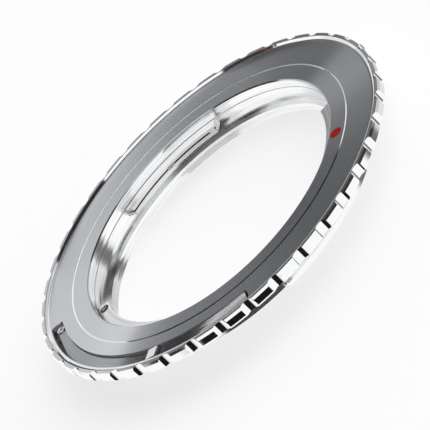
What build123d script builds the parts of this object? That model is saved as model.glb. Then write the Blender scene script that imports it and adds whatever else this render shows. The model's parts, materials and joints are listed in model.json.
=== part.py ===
from build123d import *
import os
from math import asin, cos, degrees, radians, sin

# Lens mount adapter: a thin plated brass ring that seats a bayonet lens on a camera body.
# The ring's axis is Z and +Z is the lens side. The origin lies on the axis at the rear end,
# on which the ring rests. Angles run anticlockwise from +X, seen from the lens side.
# Sizes are in millimetres and degrees.

# Heights of the turned ring
barrel_length = 4.5          # rear end to the seat that lies on the camera
flange_thickness = 1.5       # camera seat to lens seat: the two flange distances, 45.5 less 44.0
rim_rise = 0.3               # the grip rim stands proud of the lens seat
lip_height = 1.6             # inward lip at the rear end

# Radii and walls of the turned ring
rim_radius = 32.5
rim_width = 0.95             # at its top
rim_wall_lean = 0.25         # its inner wall leans in, down to the lens seat
bore_radius = 23.3
barrel_wall = 2.1
lip_depth = 1.0
rim_chamfer_width = 0.25
rim_chamfer_height = 0.35
bevel_width = 0.3            # turned bevel under the rim
bevel_height = 0.38
bore_chamfer = 0.17
edge_break = 0.15            # small chamfers of the rear end

# Grip notches round the rim
notch_count = 40
notch_phase = 6.65
notch_depth = 0.75
notch_radius = 1.26          # each is a round scoop

# Scribed line on the lens seat
scribe_offset = 3.05         # from the bore to its deepest point
scribe_depth = 0.07
scribe_inner_side = 0.14     # width of its shallow side
scribe_outer_side = 0.06     # and of its steep side

# Line turned into the bore at the tops of the lugs
bore_line_width = 0.14
bore_line_depth = 0.08

# Lens bayonet: three split lugs inside the bore, at uneven steps so that a lens fits one way
lug_starts = (171.0, 303.5, 66.0)
lug_span = 48.5
lug_flare = 1.3              # each end is slanted, wider at the wall
lug_depth = 1.95
lug_drop = 1.6               # lens seat to the top of a lug
lug_height = 1.3
lug_leaf = 0.6               # thickness below the saw cut, which a screwdriver can spread
slit_height = 0.26
slit_depth = 1.55
slit_root = 1.0              # left whole at the lug's first end
pry_width = 1.4              # wider nick at the middle of the saw cut, for the screwdriver
pry_height = 0.5
pry_depth = 0.5

# Stop pin: ends the turn of the lens
pin_radius = 0.45
pin_inset = 3.0              # from the start of the first lug
pin_wall_gap = 0.55          # metal between the pin and the bore wall
pin_proud = 0.12             # domed top above the lug
pin_reach = 1.0              # below the lug
pin_sink_gap = 0.35          # shallow sink round the pin's head
pin_sink_depth = 0.25

# Camera bayonet: three tabs outside the barrel
tab_count = 3
tab_start = 267.8            # where it leaves the barrel
tab_span = 50.0
tab_slant = 2.0              # each end is slanted, narrower at the outside
tab_depth = 1.55
tab_drop = 3.2               # camera seat to the bearing side of a tab
tab_height = 0.85
lead_length = 3.5            # lead-in ramp at the end that enters first
lead_height = 0.35

# Recess in the camera seat for the camera's own lock pin
recess_radius = 1.3
recess_depth = 0.9
recess_inset = 3.2           # from the rim's bevel to the middle of the recess
recess_step = 30.0           # clockwise from the camera's index mark

# Arc slot in the lens seat, a milled pocket
slot_margin = 0.4            # land left between the slot and the rim
slot_width = 2.2
slot_start = 167.0
slot_span = 93.0
slot_corner = 0.5
slot_floor = 0.3

# Lock leaf: a spring strip in the slot, held at one end, with a catch and a raised tail
leaf_side_gap = 0.15
leaf_end_gap = 0.4
leaf_thickness = 0.25
leaf_lift = 0.4              # room under the strip, used when it is pressed
leaf_corner = 0.35
root_gap = 0.05              # between the strip and its seat, and under the rivet's head
root_half_width = 0.75       # the strip is narrower at its rivet
root_taper = 16.0
tail_sink = 0.05             # the tail lies just under the lens seat
ramp_angle = 233.5
ramp_length = 6.2
catch_angle = 225.1
catch_length = 2.1
catch_front = 0.15           # slant of its low end
catch_rise = 0.1             # its high end stands above the lens seat
catch_slope = 0.25           # its top falls by this to the low end

# Rivet that holds the strip
rivet_inset = 1.2            # from the start of the slot
rivet_radius = 0.4
rivet_hole_gap = 0.05        # in the strip
rivet_head_radius = 0.7
rivet_head_edge = 0.12
rivet_head_height = 0.35
rivet_floor = 0.2            # metal left under its hole

# Red index marks
dot_angle = 324.4
dot_offset = 1.35            # from the bore
dot_radius = 1.0
dot_depth = 0.3
dot_sink = 0.03
mark_notch = 4               # the camera's mark is in line with this notch
mark_span = 4.4
mark_margin = 0.03           # bare wall above and below the mark
paint_thickness = 0.08
paint_gap = 0.01

# Heights and radii that follow from the sizes above
camera_seat_z = barrel_length
lens_seat_z = camera_seat_z + flange_thickness
rim_top_z = lens_seat_z + rim_rise
lug_top_z = lens_seat_z - lug_drop
lug_bottom_z = lug_top_z - lug_height
slit_z = lug_bottom_z + lug_leaf
tab_top_z = camera_seat_z - tab_drop
tab_bottom_z = tab_top_z - tab_height
slot_floor_z = camera_seat_z + slot_floor
leaf_z = slot_floor_z + leaf_lift
leaf_top_z = leaf_z + leaf_thickness
root_seat_z = leaf_z - root_gap

rim_wall_radius = rim_radius - rim_width
rim_foot_radius = rim_wall_radius - rim_wall_lean
barrel_radius = bore_radius + barrel_wall
lip_radius = bore_radius - lip_depth
lug_radius = bore_radius - lug_depth
tab_radius = barrel_radius + tab_depth
pin_circle = bore_radius - pin_wall_gap - pin_radius
slot_outer = rim_foot_radius - slot_margin
slot_inner = slot_outer - slot_width
slot_middle = (slot_outer + slot_inner) / 2
leaf_outer = slot_outer - leaf_side_gap
leaf_inner = slot_inner + leaf_side_gap
rivet_circle = leaf_inner + root_half_width
recess_circle = rim_radius - bevel_width - recess_inset

# Angles that follow
notch_pitch = 360 / notch_count
pin_angle = lug_starts[0] + pin_inset
slot_end = slot_start + slot_span
leaf_start = slot_start + degrees(leaf_end_gap / slot_middle)
leaf_end = slot_end - degrees(leaf_end_gap / slot_middle)
rivet_angle = slot_start + degrees(rivet_inset / slot_middle)
root_seat_end = slot_start + degrees(2 * rivet_inset / slot_middle)
mark_angle = notch_phase + mark_notch * notch_pitch
recess_angle = mark_angle - recess_step

# Cutting tools run this far past the faces that they open
overshoot = 0.5


def polar(radius, angle):
    """A point of the plan, from its radius and angle."""
    return (radius * cos(radians(angle)), radius * sin(radians(angle)))


def ring_patch(inner, outer, start, end, flare=0.0):
    """A flat piece of a ring; flare widens it at the outer radius, at each end."""
    inside = CenterArc((0, 0), inner, start, end - start)
    outside = CenterArc((0, 0), outer, start - flare, end - start + 2 * flare)
    return make_face([inside, outside, Line(inside @ 0, outside @ 0), Line(inside @ 1, outside @ 1)])


def slab(patch, low, high):
    """A flat outline of the plan, raised from one height to another."""
    return extrude(Pos(0, 0, low) * patch, amount=high - low)


def radial_bar(points, angle, start, end):
    """A bar along the radius at an angle; points are (distance along the turn, height)."""
    along = (-sin(radians(angle)), cos(radians(angle)), 0)
    outward = (cos(radians(angle)), sin(radians(angle)), 0)
    side = Plane(origin=(*polar(start, angle), 0), x_dir=along, z_dir=outward)
    return extrude(side * Polygon(*points, align=None), amount=end - start)


def turned(points):
    """A solid of revolution about Z from (radius, height) points."""
    return revolve(Plane.XZ * Polygon(*points, align=None), Axis.Z)


def domed_pin(radius, low, edge, top):
    """A round pin from low to edge, with a domed top; all are heights."""
    sphere = (radius**2 + (top - edge) ** 2) / (2 * (top - edge))
    half_turn = asin(radius / sphere) / 2
    on_dome = (sphere * sin(half_turn), top - sphere * (1 - cos(half_turn)))
    sides = Polyline((radius, edge), (radius, low), (0, low), (0, top))
    dome = ThreePointArc((0, top), on_dome, (radius, edge))
    return revolve(Plane.XZ * make_face([*sides.edges(), dome]), Axis.Z)


def ring_blank():
    """The turned section: rim, flange, barrel and rear lip."""
    return turned([
        (lip_radius + edge_break, 0),
        (barrel_radius - edge_break, 0),
        (barrel_radius, edge_break),
        (barrel_radius, camera_seat_z),
        (rim_radius - bevel_width, camera_seat_z),
        (rim_radius, camera_seat_z + bevel_height),
        (rim_radius, rim_top_z - rim_chamfer_height),
        (rim_radius - rim_chamfer_width, rim_top_z),
        (rim_wall_radius, rim_top_z),
        (rim_foot_radius, lens_seat_z),
        (bore_radius + bore_chamfer, lens_seat_z),
        (bore_radius, lens_seat_z - bore_chamfer),
        (bore_radius, lip_height),
        (lip_radius, lip_height),
        (lip_radius, edge_break),
    ])


def lug(start):
    """One split lug of the lens bayonet, with its saw cut and the nick at its middle."""
    end = start + lug_span
    into_wall = barrel_wall / 4
    patch = ring_patch(lug_radius, bore_radius + into_wall, start, end, lug_flare)
    whole = slab(patch, lug_bottom_z, lug_top_z)
    cut_start = start + degrees(slit_root / lug_radius)
    cut_patch = ring_patch(lug_radius - overshoot, lug_radius + slit_depth, cut_start, end + 2 * lug_flare)
    cut = slab(cut_patch, slit_z, slit_z + slit_height)
    low = slit_z + (slit_height - pry_height) / 2
    nick = radial_bar(
        [(-pry_width / 2, low), (pry_width / 2, low),
         (pry_width / 2, low + pry_height), (-pry_width / 2, low + pry_height)],
        start + lug_span / 2, lug_radius - overshoot, lug_radius + pry_depth)
    return whole - [cut, nick]


def tab(start):
    """One tab of the camera bayonet; its first end has a lead-in ramp on the bearing side."""
    into_wall = barrel_wall / 4
    patch = ring_patch(barrel_radius - into_wall, tab_radius, start, start + tab_span, -tab_slant)
    ramp = radial_bar(
        [(0, tab_top_z - lead_height), (lead_length, tab_top_z),
         (lead_length, tab_top_z + overshoot), (-overshoot, tab_top_z + overshoot),
         (-overshoot, tab_top_z - lead_height)],
        start, barrel_radius, tab_radius + overshoot)
    return slab(patch, tab_bottom_z, tab_top_z) - ramp


def grip_notches():
    """The round cutters of the rim's notches."""
    middle = rim_radius - notch_depth + notch_radius
    cutter = slab(Pos(middle, 0) * Circle(notch_radius), camera_seat_z - overshoot, rim_top_z + overshoot)
    return [Rot(0, 0, notch_phase + step * notch_pitch) * cutter for step in range(notch_count)]


def scribed_line():
    """The cutter of the thin groove on the lens seat, steeper on its outer side."""
    middle = bore_radius + scribe_offset
    return turned([
        (middle, lens_seat_z - scribe_depth),
        (middle + scribe_outer_side, lens_seat_z),
        (middle, lens_seat_z + scribe_depth),
        (middle - scribe_inner_side, lens_seat_z),
    ])


def bore_line():
    """The cutter of the thin V groove in the bore, at the tops of the lugs."""
    return turned([
        (bore_radius, lug_top_z - bore_line_width / 2),
        (bore_radius + bore_line_depth, lug_top_z),
        (bore_radius, lug_top_z + bore_line_width / 2),
        (bore_radius - bore_line_depth, lug_top_z),
    ])


def slot_pocket():
    """The cutters of the arc slot: deep under the strip, shallower at the strip's seat."""
    outline = ring_patch(slot_inner, slot_outer, slot_start, slot_end)
    outline = fillet(outline.vertices(), slot_corner)
    deep_part = ring_patch(slot_inner - overshoot, slot_outer + overshoot, root_seat_end, slot_start + 180)
    top = rim_top_z + overshoot
    return [slab(outline, root_seat_z, top), slab(outline & deep_part, slot_floor_z, top)]


def mark_block(inner, outer, gap=0.0):
    """A piece of the rim's inner wall where the camera's mark lies, less a gap all round.

    Inner and outer are distances along the radius from the wall, which leans.
    """
    half_span = mark_span / 2 - degrees(gap / rim_wall_radius)
    margin = mark_margin + gap
    low = rim_foot_radius + margin * rim_wall_lean / rim_rise
    high = rim_wall_radius - margin * rim_wall_lean / rim_rise
    band = turned([
        (low + inner, lens_seat_z + margin),
        (low + outer - gap, lens_seat_z + margin),
        (high + outer - gap, rim_top_z - margin),
        (high + inner, rim_top_z - margin),
    ])
    patch = ring_patch(slot_inner, rim_radius, mark_angle - half_span, mark_angle + half_span)
    return band & slab(patch, lens_seat_z, rim_top_z)


def adapter_ring():
    """The turned ring with its lugs, tabs, notches, slot and the seats of the small pieces."""
    body = ring_blank() - grip_notches() - scribed_line() - bore_line() - slot_pocket()
    lugs = [lug(start) for start in lug_starts]
    tabs = [tab(tab_start + 360 / tab_count * step) for step in range(tab_count)]
    body = body + lugs + tabs
    recess = Pos(*polar(recess_circle, recess_angle), 0) * slab(
        Circle(recess_radius), camera_seat_z - overshoot, camera_seat_z + recess_depth)
    dimple = Pos(*polar(bore_radius + dot_offset, dot_angle), 0) * slab(
        Circle(dot_radius), lens_seat_z - dot_depth, lens_seat_z + overshoot)
    mark_seat = mark_block(-overshoot, paint_thickness)
    pin_hole = Pos(*polar(pin_circle, pin_angle), 0) * slab(
        Circle(pin_radius), lug_bottom_z - overshoot, lug_top_z + overshoot)
    pin_sink = Pos(*polar(pin_circle, pin_angle), 0) * slab(
        Circle(pin_radius + pin_sink_gap), lug_top_z - pin_sink_depth, lug_top_z + overshoot)
    rivet_hole = Pos(*polar(rivet_circle, rivet_angle), 0) * slab(
        Circle(rivet_radius), camera_seat_z + rivet_floor, root_seat_z + overshoot)
    return body - [recess, dimple, mark_seat, pin_hole, pin_sink, rivet_hole]


def lock_leaf():
    """The spring strip: low at its rivet, a catch at its middle, and a ramp up to its tail."""
    reach = slot_outer
    half_ramp = ramp_length / 2
    tail_top_z = lens_seat_z - tail_sink
    tail_z = tail_top_z - leaf_thickness
    strip = radial_bar(
        [(-reach, leaf_z), (-half_ramp, leaf_z), (half_ramp, tail_z), (reach, tail_z),
         (reach, tail_top_z), (half_ramp, tail_top_z), (-half_ramp, leaf_top_z), (-reach, leaf_top_z)],
        ramp_angle, 0, reach)
    catch_top_z = lens_seat_z + catch_rise
    catch = radial_bar(
        [(-catch_length / 2, leaf_z), (catch_length / 2, leaf_z), (catch_length / 2, catch_top_z),
         (catch_front - catch_length / 2, catch_top_z - catch_slope), (-catch_length / 2, leaf_top_z)],
        catch_angle, leaf_inner - overshoot, leaf_outer + overshoot)
    outline = ring_patch(leaf_inner, leaf_outer, leaf_start, leaf_end)
    outline = fillet(outline.vertices(), leaf_corner)
    taper_end = leaf_start + root_taper
    outline = outline - Polygon(
        polar(rivet_circle + root_half_width, slot_start), polar(leaf_outer, taper_end),
        polar(leaf_outer + slot_width, taper_end), polar(leaf_outer + slot_width, slot_start), align=None)
    hole = Pos(*polar(rivet_circle, rivet_angle)) * Circle(rivet_radius + rivet_hole_gap)
    return (strip + catch) & slab(outline - hole, slot_floor_z, catch_top_z + overshoot)


def leaf_rivet():
    """The rivet: a shank pressed into the ring and a domed head just clear of the strip."""
    head_z = leaf_top_z + root_gap
    shank = slab(Circle(rivet_radius), camera_seat_z + rivet_floor, head_z)
    head = domed_pin(rivet_head_radius, head_z, head_z + rivet_head_edge, head_z + rivet_head_height)
    return Pos(*polar(rivet_circle, rivet_angle), 0) * (shank + head)


def stop_pin():
    """The pin through the first lug that stops the lens at the end of its turn."""
    pin = domed_pin(pin_radius, lug_bottom_z - pin_reach, lug_top_z, lug_top_z + pin_proud)
    return Pos(*polar(pin_circle, pin_angle), 0) * pin


def lens_index_dot():
    """Red enamel in the dimple of the lens seat."""
    fill = slab(Circle(dot_radius - paint_gap), lens_seat_z - dot_depth, lens_seat_z - dot_sink)
    return Pos(*polar(bore_radius + dot_offset, dot_angle), 0) * fill


def camera_index_mark():
    """Red paint in a shallow seat of the rim's inner wall."""
    return mark_block(0, paint_thickness, paint_gap)


os.makedirs("parts", exist_ok=True)
pieces = {
    "adapter_ring": adapter_ring(),
    "lock_leaf": lock_leaf(),
    "leaf_rivet": leaf_rivet(),
    "stop_pin": stop_pin(),
    "lens_index_dot": lens_index_dot(),
    "camera_index_mark": camera_index_mark(),
}
for name, piece in pieces.items():
    export_step(piece, f"parts/{name}.step")
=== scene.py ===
import json
from math import cos, radians, sin, tan

import bpy
from mathutils import Matrix, Vector


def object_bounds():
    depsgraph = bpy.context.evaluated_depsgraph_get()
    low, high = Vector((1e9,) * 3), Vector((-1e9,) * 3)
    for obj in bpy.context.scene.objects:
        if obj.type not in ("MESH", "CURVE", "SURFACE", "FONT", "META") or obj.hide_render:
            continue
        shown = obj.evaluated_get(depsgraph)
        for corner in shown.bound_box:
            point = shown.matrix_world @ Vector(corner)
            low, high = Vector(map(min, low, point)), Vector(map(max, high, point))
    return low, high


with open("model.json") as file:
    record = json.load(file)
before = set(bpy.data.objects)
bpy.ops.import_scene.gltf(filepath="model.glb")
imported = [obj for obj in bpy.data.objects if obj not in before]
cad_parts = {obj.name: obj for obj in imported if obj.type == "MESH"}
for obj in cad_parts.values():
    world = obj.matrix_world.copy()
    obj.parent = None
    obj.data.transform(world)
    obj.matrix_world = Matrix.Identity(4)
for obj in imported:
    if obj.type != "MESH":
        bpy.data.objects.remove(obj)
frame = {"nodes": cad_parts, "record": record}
cad_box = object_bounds()
mounts = {mount["name"]: mount for mount in frame["record"]["mounts"]}
MM = 0.001
WHITE = (1, 1, 1, 1)

# The photograph's camera: a long lens, rolled, half a metre from the ring
CAMERA_AZIMUTH = 270.25
CAMERA_ELEVATION = 26.84
CAMERA_ROLL = 45.73
CAMERA_DISTANCE = 514.8 * MM
CAMERA_AIM = Vector((-0.66, -1.06, 3.90)) * MM
CAMERA_LENS = 291.2
SENSOR_WIDTH = 36

# Radii on the ring and widths across it, in millimetres
LUG_RADIUS = 21.35
SLIT_MOUTH = 0.5  # how far into the slit its painted black shade reaches
BORE_RADIUS = mounts["lens_bayonet"]["dims"]["r_mm"]
BEVEL = 0.2
SEAT_START = 0.17  # from the bore to the brushed part of the seat
BARREL_WALL = 1
SCRIBED_LINE = 26.35
LINE_WALL = 0.08
LINE_SHADE_WIDTH = 0.24  # width of the painted shade inside the scribed line
SLOT_INNER = 28.7
SLOT_OUTER = 30.9
WALL_FOOT = 31.3
WALL_STRIP = 0.3  # polished strip of the seat, along the foot of the rim's wall
WALL_TOP = 31.55
WORN_EDGE = 0.12  # bright strip of the rim's top, along its wall
SCOOP_DEPTH = 0.75
RIM_RADIUS = cad_box[1].x / MM

# Heights on the ring, in millimetres
LIP_TOP = 1.6
LIP_EDGE = 0.45  # height of the lip's polished edge
LUG_BOTTOM = 3.1
SLIT_BOTTOM = 3.7
SLIT_TOP = 3.96
BORE_LINE = 4.4
LINE_BELOW = 0.07
LINE_ABOVE = 0.09
CAMERA_SEAT = mounts["camera_bayonet"]["pos_m"][2] / MM
LENS_SEAT = mounts["lens_seat"]["pos_m"][2] / MM
RIM_STEP = 0.15  # half of the step from the seat to the rim's top
LEAF_TOP = 5.45
RAMP_RISE = 0.04
CATCH_RISE = 0.1
TAIL_RISE = 0.2

# The stop pin's hole, and how far the painted shade of the sink round it reaches, in millimetres
PIN_RADIUS = 22.3
PIN_ANGLE = radians(174)
PIN_PLACE = (PIN_RADIUS * cos(PIN_ANGLE), PIN_RADIUS * sin(PIN_ANGLE), BORE_LINE)
PIN_SINK = 0.82

# How far a zone reaches past its edges, and half the width of the change to the next, in millimetres
SKIN = 0.1
MARGIN = 0.05
FACET = 0.03
EDGE = 0.02

# How far up a surface faces, from 0 on a wall to 1 on a level face: where a kind of surface starts and
# where it is full
LEVEL = (0.95, 0.98)
NEARLY_LEVEL = (0.9, 0.95)
NOT_LEVEL = (0.95, 0.9)
SLOPED = (0.3, 0.5)
STEEP = (0.8, 0.7)
UPRIGHT = (0.3, 0.1)

# Stretches round the axis, in degrees: the middle, how far from it the stretch ends, and how far it is full
# Stretches of the lip's top painted dark as dark reflections
LIP_STRETCHES = [(70, 28, 16), (146, 13, 6)]
# Stretches where the bore's bevel is painted black as a dark reflection
BEVEL_STRETCHES = [(46, 19, 15), (130, 16, 12)]
# The front stretch of the scribed line, painted black as shade in the groove
LINE_STRETCH = (270, 50, 40)
CATCH_STRETCH = (225.1, 2.4, 2.2)
TAIL_STRETCH = (259.2, 20.5, 5)


# Node helpers
def put(tree, socket, value):
    if isinstance(value, bpy.types.NodeSocket):
        tree.links.new(value, socket)
    else:
        socket.default_value = value


def feed(tree, sockets, values):
    """Values for sockets in their order."""
    for socket, value in zip(sockets, values):
        put(tree, socket, value)


def fill(tree, inputs, values):
    """Values for inputs by their names."""
    for name, value in values.items():
        put(tree, inputs[name], value)


def math(tree, operation, *values):
    node = tree.nodes.new("ShaderNodeMath")
    node.operation = operation
    feed(tree, node.inputs, values)
    return node.outputs[0]


def fold(tree, operation, values):
    result = values[0]
    for value in values[1:]:
        result = math(tree, operation, result, value)
    return result


def product(tree, *values):
    """The values multiplied, which for masks is where all of them meet."""
    return fold(tree, "MULTIPLY", values)


def total(tree, *values):
    return fold(tree, "ADD", values)


def either(tree, *masks):
    return fold(tree, "MAXIMUM", masks)


def vector_node(tree, operation, *values):
    node = tree.nodes.new("ShaderNodeVectorMath")
    node.operation = operation
    feed(tree, node.inputs, values)
    return node


def vector_math(tree, operation, *vectors):
    return vector_node(tree, operation, *vectors).outputs["Vector"]


def measure(tree, operation, *vectors):
    """A length, a distance or a dot product."""
    return vector_node(tree, operation, *vectors).outputs["Value"]


def scaled(tree, vector, factor):
    node = vector_node(tree, "SCALE", vector)
    put(tree, node.inputs["Scale"], factor)
    return node.outputs["Vector"]


def combine(tree, x, y, z):
    node = tree.nodes.new("ShaderNodeCombineXYZ")
    feed(tree, node.inputs, [x, y, z])
    return node.outputs[0]


def separate(tree, vector):
    node = tree.nodes.new("ShaderNodeSeparateXYZ")
    feed(tree, node.inputs, [vector])
    return node.outputs


def step(tree, value, low, high):
    """0 below low and 1 above high, or the other way round where high is the smaller."""
    node = tree.nodes.new("ShaderNodeMapRange")
    node.interpolation_type = "SMOOTHSTEP"
    feed(tree, node.inputs, [value, low, high])
    return node.outputs["Result"]


def above(tree, value, edge):
    return step(tree, value, edge - EDGE, edge + EDGE)


def below(tree, value, edge):
    return step(tree, value, edge + EDGE, edge - EDGE)


def between(tree, value, low, high):
    return product(tree, above(tree, value, low), below(tree, value, high))


def blend(tree, factor, first, second):
    node = tree.nodes.new("ShaderNodeMix")
    fill(tree, node.inputs, {"Factor": factor, "A": first, "B": second})
    return node.outputs["Result"]


def blend_colour(tree, factor, first, second):
    node = tree.nodes.new("ShaderNodeMix")
    node.data_type = "RGBA"
    put(tree, node.inputs["Factor"], factor)
    feed(tree, [socket for socket in node.inputs if socket.type == "RGBA"], [first, second])
    return [socket for socket in node.outputs if socket.type == "RGBA"][0]


def layered(tree, zones, value, layers, mix=blend):
    """A value that the layers override in turn, each where the mask of its zone is 1."""
    for zone, other in layers.items():
        value = mix(tree, zones[zone], value, other)
    return value


def noise(tree, vector, w, scale, detail):
    node = tree.nodes.new("ShaderNodeTexNoise")
    node.noise_dimensions = "4D"
    fill(tree, node.inputs, {"Vector": vector, "W": w, "Scale": scale, "Detail": detail})
    return math(tree, "SUBTRACT", node.outputs["Fac"], 0.5)


def mottled(tree, spots, dark, light):
    """A colour between dark and light, where spots is noise about 0."""
    return blend_colour(tree, total(tree, 0.5, spots), dark, light)


def new_material(name):
    material = bpy.data.materials.new(name)
    material.use_nodes = True
    tree = material.node_tree
    return material, tree, tree.nodes["Principled BSDF"].inputs


def dress(node, material):
    slots = frame["nodes"][node].material_slots
    slots[0].link = "OBJECT"
    slots[0].material = material


def slope_of(degrees):
    return tan(radians(degrees))


def round_axis(degrees):
    """The level direction at an angle round the axis."""
    return cos(radians(degrees)), sin(radians(degrees)), 0


class TurnedSurface:
    """Coordinates of a surface cut on a lathe: millimetres from the axis and along it, and the directions
    along the tool marks and across them."""

    def __init__(self, tree):
        self.tree = tree
        object_place = tree.nodes.new("ShaderNodeTexCoord").outputs["Object"]
        self.place = scaled(tree, object_place, 1 / MM)
        x, y, self.height = separate(tree, self.place)
        self.radius = measure(tree, "LENGTH", combine(tree, x, y, 0))
        self.cosine = math(tree, "DIVIDE", x, self.radius)
        self.sine = math(tree, "DIVIDE", y, self.radius)
        turn = tree.nodes.new("ShaderNodeVectorTransform")
        turn.convert_from = "OBJECT"
        turn.convert_to = "WORLD"
        feed(tree, turn.inputs, [combine(tree, product(tree, self.sine, -1), self.cosine, 0)])
        self.along = turn.outputs[0]
        self.normal = tree.nodes.new("ShaderNodeNewGeometry").outputs["Normal"]
        self.up = separate(tree, self.normal)[2]
        sideways = vector_math(tree, "CROSS_PRODUCT", self.along, self.normal)
        self.across = vector_math(tree, "NORMALIZE", sideways)

    def streaks(self, pitch, length):
        """Noise drawn out along the tool marks: pitch and length of a streak in millimetres."""
        tree = self.tree
        drawn_out = RIM_RADIUS / length
        spot = combine(tree, math(tree, "DIVIDE", self.radius, pitch),
                       math(tree, "DIVIDE", self.height, pitch), product(tree, self.cosine, drawn_out))
        return noise(tree, spot, product(tree, self.sine, drawn_out), scale=1, detail=3)

    def stretch(self, middle, end, full):
        """1 within full degrees of the middle, round the axis, and 0 beyond end degrees."""
        tree = self.tree
        direction = combine(tree, self.cosine, self.sine, 0)
        cosine = measure(tree, "DOT_PRODUCT", direction, round_axis(middle))
        return step(tree, cosine, cos(radians(end)), cos(radians(full)))

    def stretches(self, spans):
        return either(self.tree, *[self.stretch(*span) for span in spans])

    def bent_normal(self, slope_across, slope_along):
        """The surface's normal, leaning by a slope across the tool marks and one along them."""
        tree = self.tree
        bent = vector_math(tree, "ADD", self.normal, scaled(tree, self.across, slope_across))
        bent = vector_math(tree, "ADD", bent, scaled(tree, self.along, slope_along))
        return vector_math(tree, "NORMALIZE", bent)


# The plating's finish: the value elsewhere, then each zone's own, where a later one covers an earlier
PLATE_ROUGHNESS = 0.045
PLATE_ROUGHNESSES = {"inside": 0.14, "lugs": 0.42, "lip": 0.22, "lip_edge": 0.1, "lip_top": 0.2,
                     "lug_tops": 0.14, "bevel": 0.2, "line_wall": 0.2, "rear": 0.12, "slot": 0.45,
                     "brushed": 0.18}
ROUGH_GRAIN = 0.01
ROUGH_GRAINS = {"inside": 0.08, "slot": 0.1, "brushed": 0.04}
SHADE_GRAIN = 0.05
SHADE_GRAINS = {"inside": 0.8, "brushed": 0.12}
TILTS = {"brushed": slope_of(8), "rim_edge": slope_of(-16), "lip": slope_of(9), "lip_top": slope_of(12)}
BRUSH_MARKS = {"slot": 0.15, "brushed": 0.014}
BORE_MARKS = {"inside": 0.1, "upper_bore": 0.6, "lugs": 0.2}
BORE_WAVER = 0.25
SCOOP_WEAR = 0.4
FINE_SHARE = 0.6
PLATE_COLOUR = (0.9, 0.905, 0.91, 1)
# Black for painted shade and painted dark reflections
PAINTED_SHADE_BLACK = (0.04, 0.04, 0.042, 1)
# The near-black colours below are painted shade in the bore's groove, the slit, the scribed line and the
# pin sink, and painted dark reflections on the bevel and the lip's top
PLATE_COLOURS = {
    "brushed": (0.6, 0.617, 0.648, 1),
    "bevel": (0.5, 0.51, 0.53, 1),
    "bevel_residue": PAINTED_SHADE_BLACK,
    "slot": (0.3, 0.305, 0.31, 1),
    "bore_line": (0.06, 0.06, 0.062, 1),
    "lip_residue": (0.12, 0.12, 0.125, 1),
    "slit": PAINTED_SHADE_BLACK,
    "line_residue": PAINTED_SHADE_BLACK,
    "pin_sink": (0.1, 0.1, 0.1, 1),
}


def plating_zones(tree, surface):
    """Masks of the ring's zones: 1 in the zone and 0 elsewhere."""
    radius, height = surface.radius, surface.height
    level = step(tree, surface.up, *LEVEL)
    zones = {}

    top = above(tree, height, LENS_SEAT - SKIN)
    seat = product(tree, level, top,
                   between(tree, radius, BORE_RADIUS + SEAT_START, WALL_FOOT - WALL_STRIP))
    rim_top = product(tree, level, above(tree, height, LENS_SEAT + RIM_STEP))
    zones["rim_edge"] = product(tree, rim_top, below(tree, radius, WALL_TOP + WORN_EDGE))
    zones["brushed"] = math(tree, "SUBTRACT", either(tree, seat, rim_top), zones["rim_edge"])
    zones["scoop"] = product(tree, above(tree, radius, RIM_RADIUS - SCOOP_DEPTH - MARGIN),
                             step(tree, surface.up, *UPRIGHT))
    # painted highlight: the scribed line's wall, made a white non-metal below
    zones["line_wall"] = product(tree, between(tree, radius, SCRIBED_LINE, SCRIBED_LINE + LINE_WALL), top,
                                 step(tree, surface.up, *STEEP))
    # painted shade: black inside the scribed line along the front
    zones["line_residue"] = product(tree, surface.stretch(*LINE_STRETCH), top,
                                    between(tree, radius, SCRIBED_LINE - LINE_SHADE_WIDTH, SCRIBED_LINE + EDGE))
    zones["slot"] = product(tree, between(tree, radius, SLOT_INNER - MARGIN, SLOT_OUTER + MARGIN),
                            between(tree, height, CAMERA_SEAT + MARGIN, LENS_SEAT - MARGIN))
    zones["rear"] = product(tree, above(tree, radius, BORE_RADIUS + BARREL_WALL),
                            below(tree, height, CAMERA_SEAT - EDGE))

    zones["bevel"] = product(tree, below(tree, radius, BORE_RADIUS + BEVEL),
                             above(tree, height, LENS_SEAT - BEVEL),
                             step(tree, surface.up, *SLOPED), step(tree, surface.up, *NOT_LEVEL))
    # painted dark reflection: the bevel is black over its stretches
    zones["bevel_residue"] = product(tree, zones["bevel"], surface.stretches(BEVEL_STRETCHES))
    zones["inside"] = below(tree, radius, BORE_RADIUS + FACET)
    zones["upper_bore"] = product(tree, zones["inside"], above(tree, height, BORE_LINE + 2 * EDGE))
    # painted shade: near-black in the groove along the lugs' tops
    zones["bore_line"] = product(tree, zones["inside"], above(tree, radius, BORE_RADIUS - SKIN),
                                 between(tree, height, BORE_LINE - LINE_BELOW, BORE_LINE + LINE_ABOVE))
    zones["lugs"] = product(tree, below(tree, radius, BORE_RADIUS - SKIN),
                            between(tree, height, LUG_BOTTOM - EDGE, BORE_LINE + 2 * EDGE))
    zones["lug_tops"] = product(tree, zones["lugs"], level)
    # painted shade: black in the slit's mouth
    zones["slit"] = product(tree, zones["lugs"],
                            between(tree, radius, LUG_RADIUS + 2 * EDGE, LUG_RADIUS + SLIT_MOUTH),
                            between(tree, height, SLIT_BOTTOM - 2 * EDGE, SLIT_TOP + 2 * EDGE))
    pin_distance = measure(tree, "DISTANCE", surface.place, PIN_PLACE)
    # painted shade: near-black in the sink round the stop pin
    zones["pin_sink"] = product(tree, below(tree, pin_distance, PIN_SINK),
                                below(tree, height, BORE_LINE - EDGE))
    zones["lip"] = product(tree, zones["inside"], below(tree, height, LIP_TOP + EDGE))
    zones["lip_edge"] = product(tree, zones["lip"], above(tree, height, LIP_TOP - LIP_EDGE))
    zones["lip_top"] = product(tree, zones["lip"], level)
    # painted dark reflections: dark bands on the lip's top
    zones["lip_residue"] = product(tree, zones["lip_top"], surface.stretches(LIP_STRETCHES))
    return zones


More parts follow.
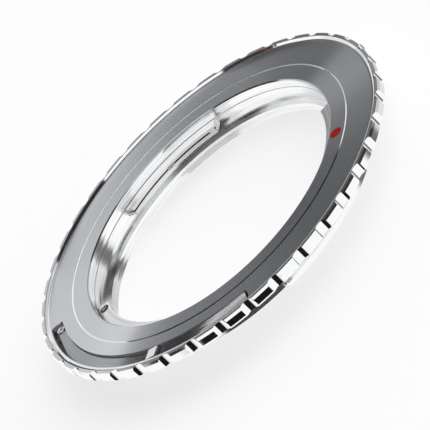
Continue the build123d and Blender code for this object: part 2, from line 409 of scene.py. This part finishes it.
def plating():
    """Chrome plate over turned brass: brushed seat and rim top, bright rim and rear, streaky bore."""
    material, tree, shader = new_material("plating")
    surface = TurnedSurface(tree)
    zones = plating_zones(tree, surface)
    fine = surface.streaks(pitch=0.12, length=9)
    coarse = surface.streaks(pitch=0.28, length=22)
    broad = surface.streaks(pitch=0.5, length=25)
    grain = total(tree, product(tree, fine, FINE_SHARE), product(tree, broad, 1 - FINE_SHARE))

    roughness = total(tree, layered(tree, zones, PLATE_ROUGHNESS, PLATE_ROUGHNESSES),
                      product(tree, grain, layered(tree, zones, ROUGH_GRAIN, ROUGH_GRAINS)))
    slope = total(tree, layered(tree, zones, 0.0, TILTS),
                  product(tree, grain, layered(tree, zones, 0.0, BRUSH_MARKS)),
                  product(tree, coarse, layered(tree, zones, 0.0, BORE_MARKS)))
    worn_turn = product(tree, measure(tree, "DOT_PRODUCT", surface.normal, surface.along), -SCOOP_WEAR)
    waver = blend(tree, zones["scoop"], product(tree, broad, zones["inside"], BORE_WAVER), worn_turn)
    colour = layered(tree, zones, PLATE_COLOUR, PLATE_COLOURS, blend_colour)
    shade = total(tree, 1, product(tree, grain, layered(tree, zones, SHADE_GRAIN, SHADE_GRAINS)))
    fill(tree, shader, {
        "Base Color": scaled(tree, colour, shade),
        # the scribed line's wall is white non-metal, a painted highlight
        "Metallic": math(tree, "SUBTRACT", 1, zones["line_wall"]),
        "Roughness": roughness,
        "Anisotropic": 1,
        "Normal": surface.bent_normal(slope, waver),
        "Tangent": surface.across,
    })
    return material


# The lock leaf's finish: slopes of its parts, how deep its marks are, and its colours, the body's dark
# greys being painted shade where it lies deep in the slot
LEAF_SLOPE = slope_of(12)
RAMP_SLOPE = slope_of(20)
CROWN_SLOPE = slope_of(14)
CROWN_RADIUS = SLOT_INNER + 0.5
LEAF_MARKS = 0.25
LEAF_WAVES = 0.1
TAIL_WAVES = 2.2
LEAF_ROUGHNESS = 0.14
LEAF_ROUGH_GRAIN = 0.1
LEAF_SHADED_DARK = (0.24, 0.25, 0.26, 1)
LEAF_SHADED_LIGHT = (0.42, 0.43, 0.44, 1)
LEAF_COLOURS = {"tail": (0.95, 0.95, 0.96, 1), "catch": (0.85, 0.85, 0.86, 1)}


def spring_steel():
    """A spring strip, brushed along its length, bent up at its ramp and crowned at its tail; its body is
    painted dark as shade, its tail and catch light.
    """
    material, tree, shader = new_material("spring_steel")
    surface = TurnedSurface(tree)
    level = step(tree, surface.up, *NEARLY_LEVEL)
    zones = {
        "ramp": product(tree, level, step(tree, surface.height, LEAF_TOP, LEAF_TOP + RAMP_RISE)),
        "tail": product(tree, level, above(tree, surface.height, LEAF_TOP + TAIL_RISE),
                        surface.stretch(*TAIL_STRETCH)),
        "catch": product(tree, surface.stretch(*CATCH_STRETCH),
                         above(tree, surface.height, LEAF_TOP + CATCH_RISE)),
    }
    fine = surface.streaks(pitch=0.09, length=7)
    broad = surface.streaks(pitch=0.35, length=16)
    speckle = noise(tree, surface.place, 0, scale=5, detail=2)

    crown = product(tree, math(tree, "SUBTRACT", CROWN_RADIUS, surface.radius), CROWN_SLOPE)
    bend = layered(tree, zones, LEAF_SLOPE, {"ramp": RAMP_SLOPE, "tail": crown, "catch": 0.0})
    marks = layered(tree, zones, LEAF_MARKS, {"catch": 0.0})
    waves = layered(tree, zones, LEAF_WAVES, {"tail": TAIL_WAVES, "catch": 0.0})
    slope = total(tree, product(tree, bend, level), product(tree, total(tree, fine, speckle), marks),
                  product(tree, broad, waves))
    colour = layered(tree, zones, mottled(tree, fine, LEAF_SHADED_DARK, LEAF_SHADED_LIGHT), LEAF_COLOURS, blend_colour)
    fill(tree, shader, {
        "Base Color": colour,
        "Metallic": 1,
        "Roughness": total(tree, LEAF_ROUGHNESS, product(tree, fine, LEAF_ROUGH_GRAIN)),
        "Anisotropic": 1,
        "Normal": surface.bent_normal(slope, 0),
        "Tangent": surface.across,
    })
    return material


# The small pieces' finish
PIN_ROUGHNESS = 0.3
PIN_SLOPE = slope_of(8)
ENAMEL_ROUGHNESS = 0.4
ENAMEL_RELIEF = 0.02 * MM
SPOT_ROUGHNESS = 0.2
RIVET_GREYS = (0.88, 0.88, 0.89, 1), (0.98, 0.98, 0.98, 1)
# The stop pin's dark mottled greys are painted shade round it in its sink
PIN_SHADE_GREYS = (0.1, 0.1, 0.1, 1), (0.75, 0.75, 0.76, 1)
DOT_REDS = (0.2, 0.003, 0.002, 1), (0.36, 0.007, 0.005, 1)
DOT_GLOSS = 0.02
WORN_REDS = (0.16, 0.045, 0.035, 1), (0.27, 0.085, 0.07, 1)
WORN_GLOSS = 0.25


def bright_steel(name, greys):
    """Turned and polished steel, a little uneven, between a dark and a light grey."""
    material, tree, shader = new_material(name)
    surface = TurnedSurface(tree)
    spots = noise(tree, surface.place, 0, scale=4, detail=3)
    level = step(tree, surface.up, *NEARLY_LEVEL)
    fill(tree, shader, {
        "Base Color": mottled(tree, spots, *greys),
        "Metallic": 1,
        "Roughness": total(tree, PIN_ROUGHNESS, product(tree, spots, SPOT_ROUGHNESS)),
        "Normal": surface.bent_normal(product(tree, level, PIN_SLOPE), 0),
    })
    return material


def red_enamel(name, reds, gloss):
    """Red enamel, a little uneven, between a dark and a light red."""
    material, tree, shader = new_material(name)
    surface = TurnedSurface(tree)
    spots = noise(tree, surface.place, 0, scale=3, detail=4)
    bump = tree.nodes.new("ShaderNodeBump")
    fill(tree, bump.inputs, {"Distance": ENAMEL_RELIEF, "Height": spots})
    fill(tree, shader, {
        "Base Color": mottled(tree, spots, *reds),
        "Roughness": total(tree, ENAMEL_ROUGHNESS, product(tree, spots, SPOT_ROUGHNESS)),
        "Specular IOR Level": gloss,
        "Normal": bump.outputs[0],
    })
    return material


dress("adapter_ring", plating())
dress("lock_leaf", spring_steel())
dress("leaf_rivet", bright_steel("bright_steel", RIVET_GREYS))
# the stop pin's dark greys are painted shade
dress("stop_pin", bright_steel("oiled_steel", PIN_SHADE_GREYS))
dress("lens_index_dot", red_enamel("red_enamel", DOT_REDS, DOT_GLOSS))
dress("camera_index_mark", red_enamel("worn_red_enamel", WORN_REDS, WORN_GLOSS))


def add_camera():
    azimuth = radians(CAMERA_AZIMUTH)
    elevation = radians(CAMERA_ELEVATION)
    back = Vector((cos(azimuth) * cos(elevation), sin(azimuth) * cos(elevation), sin(elevation)))
    upright = (-back).to_track_quat("-Z", "Y").to_matrix().to_4x4()
    roll = Matrix.Rotation(-radians(CAMERA_ROLL), 4, "Z")
    data = bpy.data.cameras.new("photo_camera")
    data.lens = CAMERA_LENS
    data.sensor_width = SENSOR_WIDTH
    camera = bpy.data.objects.new("photo_camera", data)
    camera.matrix_world = Matrix.Translation(CAMERA_AIM + back * CAMERA_DISTANCE) @ upright @ roll
    bpy.context.scene.collection.objects.link(camera)
    bpy.context.scene.camera = camera


# The floor: half its side in metres, its paint, and the share of its white that is its own glow
FLOOR_HALF = 3.0
FLOOR_DEPTH = 0.02 * MM
FLOOR_PAINT = (0.95, 0.95, 0.96, 1)
FLOOR_ROUGHNESS = 0.9
FLOOR_GLOW = (0.985, 0.98, 0.995, 1)
GLOW_SHARE = 0.7


def floor_material():
    """White paint with a glow of its own, so that the shadow on it stays faint. It is clear from below."""
    material, tree, shader = new_material("floor")
    fill(tree, shader, {"Base Color": FLOOR_PAINT, "Roughness": FLOOR_ROUGHNESS})
    glow = tree.nodes.new("ShaderNodeEmission")
    put(tree, glow.inputs["Color"], FLOOR_GLOW)
    painted = tree.nodes.new("ShaderNodeMixShader")
    feed(tree, painted.inputs, [GLOW_SHARE, tree.nodes["Principled BSDF"].outputs[0], glow.outputs[0]])
    one_sided = tree.nodes.new("ShaderNodeMixShader")
    underside = tree.nodes.new("ShaderNodeNewGeometry").outputs["Backfacing"]
    clear = tree.nodes.new("ShaderNodeBsdfTransparent").outputs[0]
    feed(tree, one_sided.inputs, [underside, painted.outputs[0], clear])
    feed(tree, tree.nodes["Material Output"].inputs, [one_sided.outputs[0]])
    return material


def add_floor():
    mesh = bpy.data.meshes.new("floor")
    corners = [(-FLOOR_HALF, -FLOOR_HALF), (FLOOR_HALF, -FLOOR_HALF),
               (FLOOR_HALF, FLOOR_HALF), (-FLOOR_HALF, FLOOR_HALF)]
    mesh.from_pydata([(x, y, -FLOOR_DEPTH) for x, y in corners], [], [(0, 1, 2, 3)])
    mesh.materials.append(floor_material())
    floor = bpy.data.objects.new("floor", mesh)
    floor.visible_glossy = False
    bpy.context.scene.collection.objects.link(floor)


# The studio that the metal mirrors: a white tent with flags and soft boxes in it, where a later one covers
# an earlier. Each has its middle's azimuth and elevation, its half width and half height, its tilt and its
# edge's softness, in degrees, and its level. The light on dull surfaces is daylight from one side.
TENT_LEVEL = 1.05
WINDOW_AZIMUTH = 25
WINDOW_SHARE = 3.0
WINDOW_LEVEL = 0.81
PANELS = {
    "low_veil": (209, -27, 7, 12, 0, 4, 0.75),
    "side_flag": (0, -5, 10, 38, 0, 3, 0.15),
    "side_veil": (30, 12, 20, 40, 0, 10, 0.62),
    "high_flag": (337.5, 44.5, 28.5, 14.5, 0, 1.5, 0.03),
    "corner_flag": (354, 26, 12, 8, 0, 1.5, 0.04),
    "left_flag": (185, 38, 17, 13.5, 0, 1.5, 0.04),
    "low_flag": (240, -27, 26, 14, 0, 1.5, 0.01),
    "top_flag": (90, 64, 60, 27, 0, 1, 0.06),
    "back_flag": (90, 51, 33, 42, 0, 1, 0.105),
    "line_flag": (50, 67, 22, 12, 0, 2, 0.004),
    "line_box": (50, 42, 6, 8, 0, 2, 1.0),
    "wall_box": (61, 15, 6, 17, 0, 2, 0.65),
    "left_box": (115, 18, 25, 18.5, 0, 2.5, 0.85),
    "left_wing": (105.2, 32.2, 12, 2.5, 26, 0.5, 1.0),
    "right_box": (75.5, 25.1, 10, 4.6, 30, 0.5, 0.35),
    "low_box": (93, 5, 7, 6, -13, 2, 0.58),
}


def within(tree, value, half, soft):
    return step(tree, math(tree, "ABSOLUTE", value), half + soft, half - soft)


def tent_level(tree, ray):
    """How bright the tent is in a ray's direction."""
    x, y, z = separate(tree, ray)
    azimuth = math(tree, "DEGREES", math(tree, "ARCTAN2", y, x))
    elevation = math(tree, "DEGREES", math(tree, "ARCSINE", z))
    level = TENT_LEVEL
    for middle, rise, half_width, half_height, tilt, soft, panel_level in PANELS.values():
        side = math(tree, "WRAP", math(tree, "SUBTRACT", azimuth, middle), 180, -180)
        lift = math(tree, "SUBTRACT", elevation, rise)
        cosine, sine = cos(radians(tilt)), sin(radians(tilt))
        width = total(tree, product(tree, side, cosine), product(tree, lift, sine))
        height = total(tree, product(tree, lift, cosine), product(tree, side, -sine))
        panel = product(tree, within(tree, width, half_width, soft),
                        within(tree, height, half_height, soft))
        level = blend(tree, panel, level, panel_level)
    return level


def add_studio():
    """The tent for mirrored rays, daylight for dull surfaces and plain white for the camera."""
    world = bpy.data.worlds.new("studio")
    world.use_nodes = True
    tree = world.node_tree
    ray = tree.nodes.new("ShaderNodeTexCoord").outputs["Generated"]
    light_path = tree.nodes.new("ShaderNodeLightPath").outputs
    facing_window = measure(tree, "DOT_PRODUCT", ray, round_axis(WINDOW_AZIMUTH))
    daylight = total(tree, 1, product(tree, facing_window, WINDOW_SHARE))
    daylight = product(tree, math(tree, "MAXIMUM", daylight, 0), WINDOW_LEVEL)
    plain = tree.nodes["Background"]
    plain_level = blend(tree, light_path["Is Camera Ray"], daylight, 1)
    fill(tree, plain.inputs, {"Color": WHITE, "Strength": plain_level})
    mirrored = tree.nodes.new("ShaderNodeBackground")
    fill(tree, mirrored.inputs, {"Color": WHITE, "Strength": tent_level(tree, ray)})
    mix = tree.nodes.new("ShaderNodeMixShader")
    feed(tree, mix.inputs, [light_path["Is Glossy Ray"], plain.outputs[0], mirrored.outputs[0]])
    feed(tree, tree.nodes["World Output"].inputs, [mix.outputs[0]])
    bpy.context.scene.world = world


add_camera()
add_floor()
add_studio()
bpy.context.scene.view_settings.view_transform = "Standard"
